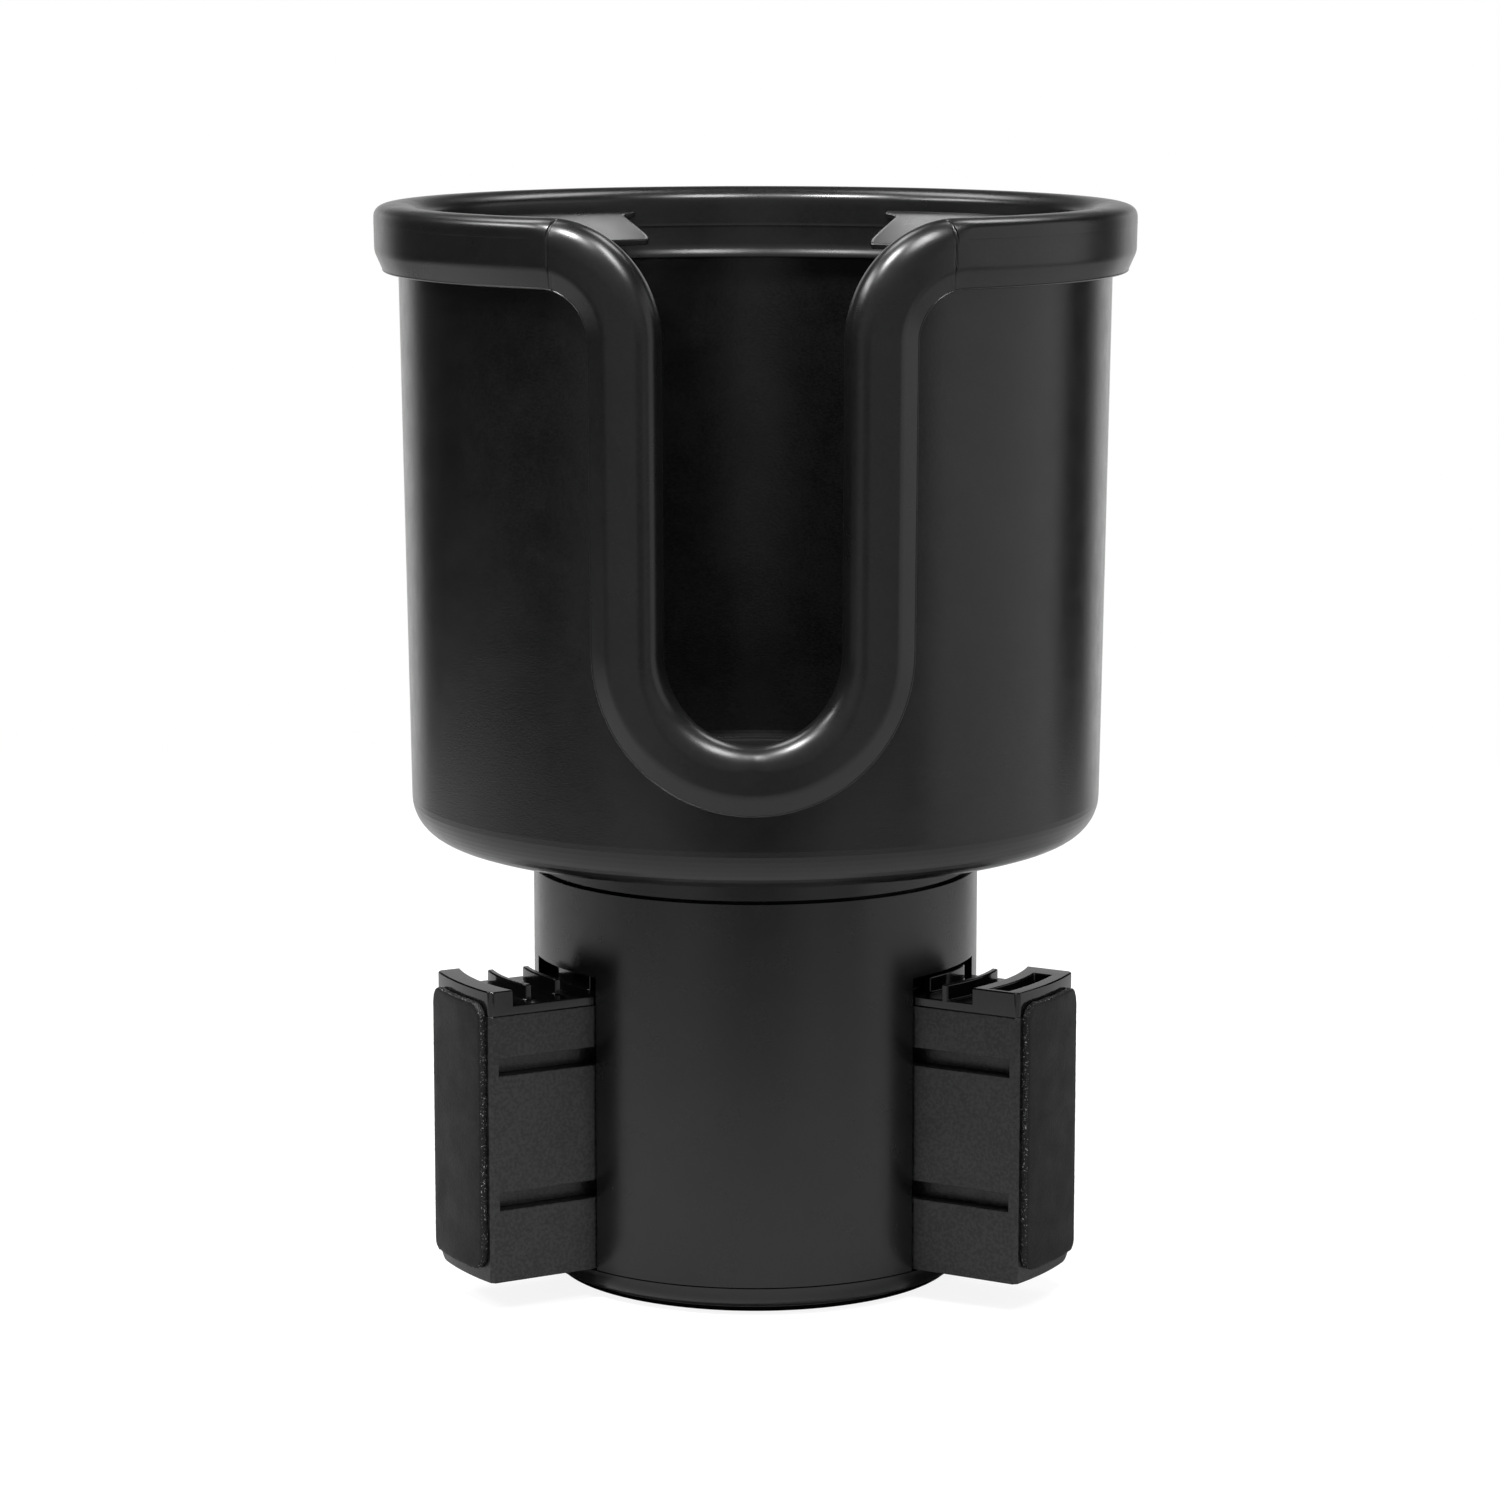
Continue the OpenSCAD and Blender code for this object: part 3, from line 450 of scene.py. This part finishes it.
def grip_flap(middle, droop):
    """A drooping flap: a grid from its root in the skirt to its free edge, above and below."""
    points, faces = [], []
    for under in (False, True):
        for u in FLAP_ROWS:
            r = FLAP_R - u
            past = max(u, 0)
            half = FLAP_SPAN / 2 - flap_inset(past) / r
            for t in FLAP_COLUMNS:
                a = math.radians(middle) + half * t
                edge = FLAP_EDGE if abs(t) == 1 or u == FLAP_LEN else 0.0
                z = FLAP_Z - droop * (past / FLAP_LEN) ** FLAP_BEND - (FLAP_T - edge if under else edge)
                points.append((r * math.cos(a), r * math.sin(a), z))
    n, m = len(FLAP_COLUMNS), len(FLAP_ROWS)
    for i in range(m - 1):
        for j in range(n - 1):
            a = i * n + j
            faces.append([a + n, a + n + 1, a + 1, a])
            b = a + n * m
            faces.append([b, b + 1, b + n + 1, b + n])
    rim = list(range(n)) + [(i + 1) * n - 1 for i in range(1, m)]
    rim += [(m - 1) * n + j for j in range(n - 2, -1, -1)] + [i * n for i in range(m - 2, 0, -1)]
    for a, b in zip(rim, rim[1:] + rim[:1]):
        faces.append([a + n * m, b + n * m, b, a])
    return points, faces


points, faces = trim_band()
for middle, droop in FLAPS:
    flap_points, flap_faces = grip_flap(middle, droop)
    faces += [[v + len(points) for v in face] for face in flap_faces]
    points += flap_points
mesh = new_mesh("rim_trim_fine", points, faces)
add_piece(mesh, [TRIM], "cup", "rim_trim", TRIM_SHARP)


# ---------------------------------------------------------------- pads, mat and foot

PAD_T, PAD_HALF, PAD_LOW, PAD_HIGH = 1.1, 8.0, 6.45, 47.15
PAD_CORNER, PAD_FAR_CORNER = 2.6, 1.5
PAD_STEP, PAD_RAGGED = 0.35, 0.045
# Inset and height of the rings of points up the pad's edge and onto its face. Between the first and the
# last of the cut rings the edge is ragged, and up to the last it is cut rubber.
PAD_RINGS = ((0.2, 0.0), (0.2, 0.12), (0.0, 0.3), (0.0, 0.7), (0.04, 0.92), (0.16, 1.04),
             (0.34, PAD_T), (0.7, PAD_T), (2.0, PAD_T))
CUT_FIRST, CUT_LAST = 2, 5

MAT_R, MAT_LOW, MAT_HIGH = 47.16, 71.15, 74.15
MAT_LOW_EDGE, MAT_TOP_EDGE, MAT_MIDDLE_R = 0.4, 0.7, 24
MAT_RIM, MAT_SLOPE, MAT_FACE = MAT_R - 2.4, MAT_R - 2.8, MAT_HIGH - 0.3
FOOT_R, FOOT_T, FOOT_LOW_EDGE, FOOT_TOP_EDGE = 30.9, 1, 0.25, 0.15


def pad_outline(angle):
    """The pad's outline, flat. The lower corner away from the handle slot is the tighter one."""
    half_h = (PAD_HIGH - PAD_LOW) / 2
    corners = []
    for sx, sy, a0 in ((1, 1, 0), (-1, 1, 90), (-1, -1, 180), (1, -1, 270)):
        far = sy < 0 and angle != ARM_ANGLES["rear"] and sx * math.cos(math.radians(angle)) > 0
        r = PAD_FAR_CORNER if far else PAD_CORNER
        corners += [(sx * (PAD_HALF - r) + x, sy * (half_h - r) + y) for x, y in arc(0, 0, r, a0, a0 + 90, 9)]
    path = []
    for (ax, ay), (bx, by) in zip(corners, corners[1:] + corners[:1]):
        n = max(1, int(math.hypot(bx - ax, by - ay) / PAD_STEP))
        path += [(ax + (bx - ax) * i / n, ay + (by - ay) * i / n) for i in range(n)]
    return path


def pad(angle):
    """Points, faces and face looks of a grip pad on an arm's round face, with a cut cellular edge."""
    rng = np.random.default_rng(int(angle))
    half_h, middle_z = (PAD_HIGH - PAD_LOW) / 2, (PAD_HIGH + PAD_LOW) / 2
    path = pad_outline(angle)
    n = len(path)
    turn = math.radians(angle)
    points, faces, face_looks = [], [], []
    for k, (inset, height) in enumerate(PAD_RINGS):
        ragged = rng.normal(0, PAD_RAGGED, n) if CUT_FIRST <= k <= CUT_LAST else np.zeros(n)
        for (x, y), w in zip(path, ragged):
            px = x * ((PAD_HALF - inset + w) / PAD_HALF)
            py = y * ((half_h - inset + w) / half_h)
            r = ARM_FACE_R + height
            s = math.sqrt(r * r - px * px)
            points.append((s * math.cos(turn) - px * math.sin(turn), s * math.sin(turn) + px * math.cos(turn),
                           middle_z + py))
    for k in range(len(PAD_RINGS) - 1):
        low, high = k * n, (k + 1) * n
        for i in range(n):
            j = (i + 1) % n
            faces.append([low + i, low + j, high + j, high + i])
            face_looks.append(1 if k < CUT_LAST else 0)
    top = (len(PAD_RINGS) - 1) * n
    faces += [list(range(top, top + n)), list(range(n))[::-1]]
    return points, faces, face_looks + [0, 0]


def split_caps(mesh):
    """Cuts a mesh's many-cornered faces into triangles."""
    work = bmesh.new()
    work.from_mesh(mesh)
    bmesh.ops.triangulate(work, faces=[f for f in work.faces if len(f.verts) > 4])
    work.to_mesh(mesh)
    work.free()


for side, angle in ARM_ANGLES.items():
    points, faces, face_looks = pad(angle)
    mesh = new_mesh("grip_pad_" + side, points, faces)
    add_piece(mesh, [PAD, PAD_EDGE], side + "_arm", "pad_" + side, PAD_SHARP, face_looks)
    split_caps(mesh)

mat_profile = [(0, MAT_LOW)]
mat_profile += arc(MAT_R - MAT_LOW_EDGE, MAT_LOW + MAT_LOW_EDGE, MAT_LOW_EDGE, -90, 0, 4)
mat_profile += arc(MAT_R - MAT_TOP_EDGE, MAT_HIGH - MAT_TOP_EDGE, MAT_TOP_EDGE, 0, 90, 6)
mat_profile += soft_corner((MAT_R, MAT_HIGH), (MAT_RIM, MAT_HIGH), (MAT_SLOPE, MAT_FACE), 0.2, 3)
mat_profile += soft_corner((MAT_RIM, MAT_HIGH), (MAT_SLOPE, MAT_FACE), (0, MAT_FACE), 0.2, 3)
mat_profile += [(MAT_MIDDLE_R, MAT_FACE), (0, MAT_FACE)]
mesh = new_mesh("cup_mat_fine", *turned(mat_profile))
add_piece(mesh, [MAT], "cup", "cup_mat", TURNED_SHARP)

foot_profile = [(0, 0)]
foot_profile += arc(FOOT_R - FOOT_LOW_EDGE, FOOT_LOW_EDGE, FOOT_LOW_EDGE, -90, 0, 3)
foot_profile += arc(FOOT_R - FOOT_TOP_EDGE, FOOT_T - FOOT_TOP_EDGE, FOOT_TOP_EDGE, 0, 90, 3)
foot_profile += [(0, FOOT_T)]
mesh = new_mesh("foot_pad_fine", *turned(foot_profile))
add_piece(mesh, [FOOT], "base", "foot_pad", TURNED_SHARP)


# ---------------------------------------------------------------- arms, racks and sleeve

ARM_BEVEL, RACK_BEVEL, SLEEVE_BEVEL = 0.12, 0.22, 0.06
FAR_CORNER_R, FAR_CORNER_CUTS = 3.4, range(10, 90, 14)


def round_far_corner(angle):
    """Returns a cut that rounds the arm's lower long edge on the side away from the handle slot."""
    across = Vector((-math.sin(math.radians(angle)), math.cos(math.radians(angle)), 0))
    across *= 1 if across.y > 0 else -1
    centre = across * (ARM_HALF - FAR_CORNER_R) * MM + Vector((0, 0, ARM_LOW + FAR_CORNER_R)) * MM

    def cut(work):
        for turn in FAR_CORNER_CUTS:
            way = across * math.cos(math.radians(turn)) - Vector((0, 0, math.sin(math.radians(turn))))
            found = bmesh.ops.bisect_plane(work, geom=work.verts[:] + work.edges[:] + work.faces[:],
                                           plane_co=centre + way * FAR_CORNER_R * MM, plane_no=way, clear_outer=True)
            rim = [e for e in found["geom_cut"] if isinstance(e, bmesh.types.BMEdge)]
            bmesh.ops.contextual_create(work, geom=rim)

    return cut


def in_slot(face):
    """Whether a face of the sleeve is inside it or in the wall of an arm's slot, where the sleeve takes a painted
    shade.
    """
    out = Vector((face.center.x, face.center.y, 0))
    below_skin = out.length < (SLEEVE_R - 0.1) * MM
    return below_skin and abs(face.normal.z) < 0.5 and face.normal.dot(out.normalized()) < 0.5


for side, angle in ARM_ANGLES.items():
    cut = None if side == "rear" else round_far_corner(angle)
    dressed("arm_" + side, [ARM], side + "_arm", ARM_BEVEL, cut_corner=cut)
    dressed("rack_" + side, [RACK], side + "_arm", RACK_BEVEL, segments=3)
# The faces inside the sleeve and in its slot walls take the painted shade, a darker and duller look
dressed("base_sleeve", [SLEEVE, SLOT_PAINTED_SHADE], "base", SLEEVE_BEVEL, painted_shade_faces=in_slot)


# ---------------------------------------------------------------- floor, light and camera

FLOOR_R, FLOOR_CORNERS, FLOOR_Z = 1.2, 96, -0.00005
# The camera sees the floor as a glow and a share that takes the shadow. Other rays see it matt.
FLOOR_GLOW, FLOOR_SHADE, FLOOR_MATT = 0.88, 0.20, 0.36
# The oval in which the floor fades out
FADE_SCALE, FADE_SHIFT, FADE_OVER = (0.95, 1.6, 0), (0, -0.08, 0), (0.22, 0.70)

# The room that shiny faces see: brightness, and the range of a direction's X, Y or Z that it changes over
BACKDROP = ((0.03, 1.0), (0.74, 0.86))
BACKDROP_TOP = ((1.0, 0.05), (0.14, 0.28))
FRONT = ((0.38, 0.0), (-0.80, -0.35))
FRONT_SIDES = ((0.0, 1.0), (0.15, 0.5))
FRONT_ABOVE = ((0.05, 1.0), (-0.16, -0.02))
# What the other rays see of the room, and the white behind the object
ROOM_LEVEL, WHITE = 0.42, 1.0

# Azimuth from the camera's side, elevation, distance, width, height and brightness
LAMP_AIM = Vector((0, 0, 0.09))
LAMPS = {
    "wide_right": (86, 10, 1.0, 1.15, 0.90, 0.78),
    "bank_left": (-86, 41, 0.9, 0.45, 0.18, 16.0),
    "bank_top": (-47, 63, 0.9, 0.17, 0.17, 110.0),
    "front_top": (26, 63, 0.9, 0.20, 0.36, 28.0),
    "back_left": (-145, 54, 1.0, 0.34, 0.30, 7.0),
    "back_right": (145, 54, 1.0, 0.34, 0.30, 7.0),
}

VIEW_TURN, VIEW_TILT = math.radians(0.4), math.radians(80.535)
VIEW_BACK, VIEW_UP = 0.6998, 0.1964
SENSOR, LENS, LENS_SHIFT, CLIP = 36, 111.38, -0.00369, (0.05, 50)


def grey_diffuse(tree, level):
    made = node(tree, "ShaderNodeBsdfDiffuse")
    made.inputs["Color"].default_value = (level, level, level, 1)
    return made.outputs[0]


def mixed_shader(tree, factor, low, high):
    made = node(tree, "ShaderNodeMixShader")
    for socket, value in zip(made.inputs, (factor, low, high)):
        tree.links.new(value, socket)
    return made.outputs[0]


def floor_look():
    look = bpy.data.materials.new("studio_floor")
    look.use_nodes = True
    tree = look.node_tree
    tree.nodes.clear()
    glow = node(tree, "ShaderNodeEmission")
    glow.inputs["Strength"].default_value = FLOOR_GLOW
    shown = node(tree, "ShaderNodeAddShader")
    tree.links.new(grey_diffuse(tree, FLOOR_SHADE), shown.inputs[0])
    tree.links.new(glow.outputs[0], shown.inputs[1])
    camera_ray = node(tree, "ShaderNodeLightPath").outputs["Is Camera Ray"]
    near = mixed_shader(tree, camera_ray, grey_diffuse(tree, FLOOR_MATT), shown.outputs[0])
    oval = node(tree, "ShaderNodeVectorMath", operation="MULTIPLY_ADD")
    oval.inputs[1].default_value = FADE_SCALE
    oval.inputs[2].default_value = FADE_SHIFT
    tree.links.new(node(tree, "ShaderNodeNewGeometry").outputs["Position"], oval.inputs[0])
    far = node(tree, "ShaderNodeVectorMath", operation="LENGTH")
    tree.links.new(oval.outputs[0], far.inputs[0])
    fade = spread(tree, far.outputs["Value"], (0.0, 1.0), FADE_OVER)
    open_air = node(tree, "ShaderNodeBsdfTransparent").outputs[0]
    out = node(tree, "ShaderNodeOutputMaterial")
    tree.links.new(mixed_shader(tree, fade, near, open_air), out.inputs["Surface"])
    return look


def studio_floor():
    """A pale floor whose edge fades out into the room."""
    turns = [2 * math.pi * i / FLOOR_CORNERS for i in range(FLOOR_CORNERS)]
    mesh = bpy.data.meshes.new("studio_floor")
    mesh.from_pydata([(FLOOR_R * math.cos(a), FLOOR_R * math.sin(a), FLOOR_Z) for a in turns],
                     [], [list(range(FLOOR_CORNERS))])
    mesh.materials.append(floor_look())
    made = bpy.data.objects.new("studio_floor", mesh)
    bpy.context.scene.collection.objects.link(made)


def studio_world():
    """A white backdrop behind the object, in a room that is dark on the camera's side."""
    world = bpy.data.worlds.new("studio")
    world.use_nodes = True
    tree = world.node_tree
    tree.nodes.clear()
    split = node(tree, "ShaderNodeSeparateXYZ")
    tree.links.new(node(tree, "ShaderNodeTexCoord").outputs["Generated"], split.inputs[0])
    x, y, z = split.outputs
    backdrop = combined(tree, "MULTIPLY", spread(tree, y, *BACKDROP), spread(tree, z, *BACKDROP_TOP))
    sides = spread(tree, combined(tree, "ABSOLUTE", x), *FRONT_SIDES)
    lit = combined(tree, "MAXIMUM", sides, spread(tree, z, *FRONT_ABOVE))
    front = combined(tree, "MULTIPLY", spread(tree, y, *FRONT), lit)
    rays = node(tree, "ShaderNodeLightPath").outputs
    level = mixed(tree, rays["Is Glossy Ray"], ROOM_LEVEL, combined(tree, "ADD", backdrop, front))
    level = mixed(tree, rays["Is Transmission Ray"], level, WHITE)
    level = mixed(tree, rays["Is Camera Ray"], level, WHITE)
    light = node(tree, "ShaderNodeBackground")
    light.inputs["Color"].default_value = (1, 1, 1, 1)
    tree.links.new(level, light.inputs["Strength"])
    out = node(tree, "ShaderNodeOutputWorld")
    tree.links.new(light.outputs[0], out.inputs["Surface"])
    bpy.context.scene.world = world


def softbox(name, azimuth, elevation, distance, width, height, level):
    """A soft lamp whose face has the given brightness, aimed at the cup, out of the camera's sight."""
    data = bpy.data.lights.new(name, "AREA")
    data.shape = "RECTANGLE"
    data.size, data.size_y = width, height
    data.energy = level * math.pi * width * height
    made = bpy.data.objects.new(name, data)
    a, e = math.radians(azimuth), math.radians(elevation)
    made.location = LAMP_AIM + distance * Vector((math.sin(a) * math.cos(e), -math.cos(a) * math.cos(e), math.sin(e)))
    made.rotation_euler = (LAMP_AIM - made.location).to_track_quat("-Z", "Y").to_euler()
    made.visible_camera = False
    bpy.context.scene.collection.objects.link(made)


def studio_camera():
    """The photo's view: a long lens in front of the handle slot, a little above the rim."""
    data = bpy.data.cameras.new("camera")
    data.sensor_width, data.lens, data.shift_x = SENSOR, LENS, LENS_SHIFT
    data.clip_start, data.clip_end = CLIP
    made = bpy.data.objects.new("camera", data)
    made.location = (VIEW_BACK * math.sin(VIEW_TURN), -VIEW_BACK * math.cos(VIEW_TURN), VIEW_UP)
    made.rotation_euler = (VIEW_TILT, 0, VIEW_TURN)
    bpy.context.scene.collection.objects.link(made)
    bpy.context.scene.camera = made


studio_floor()
studio_world()
for name, values in LAMPS.items():
    softbox(name, *values)
studio_camera()
bpy.context.scene.view_settings.view_transform = "Standard"
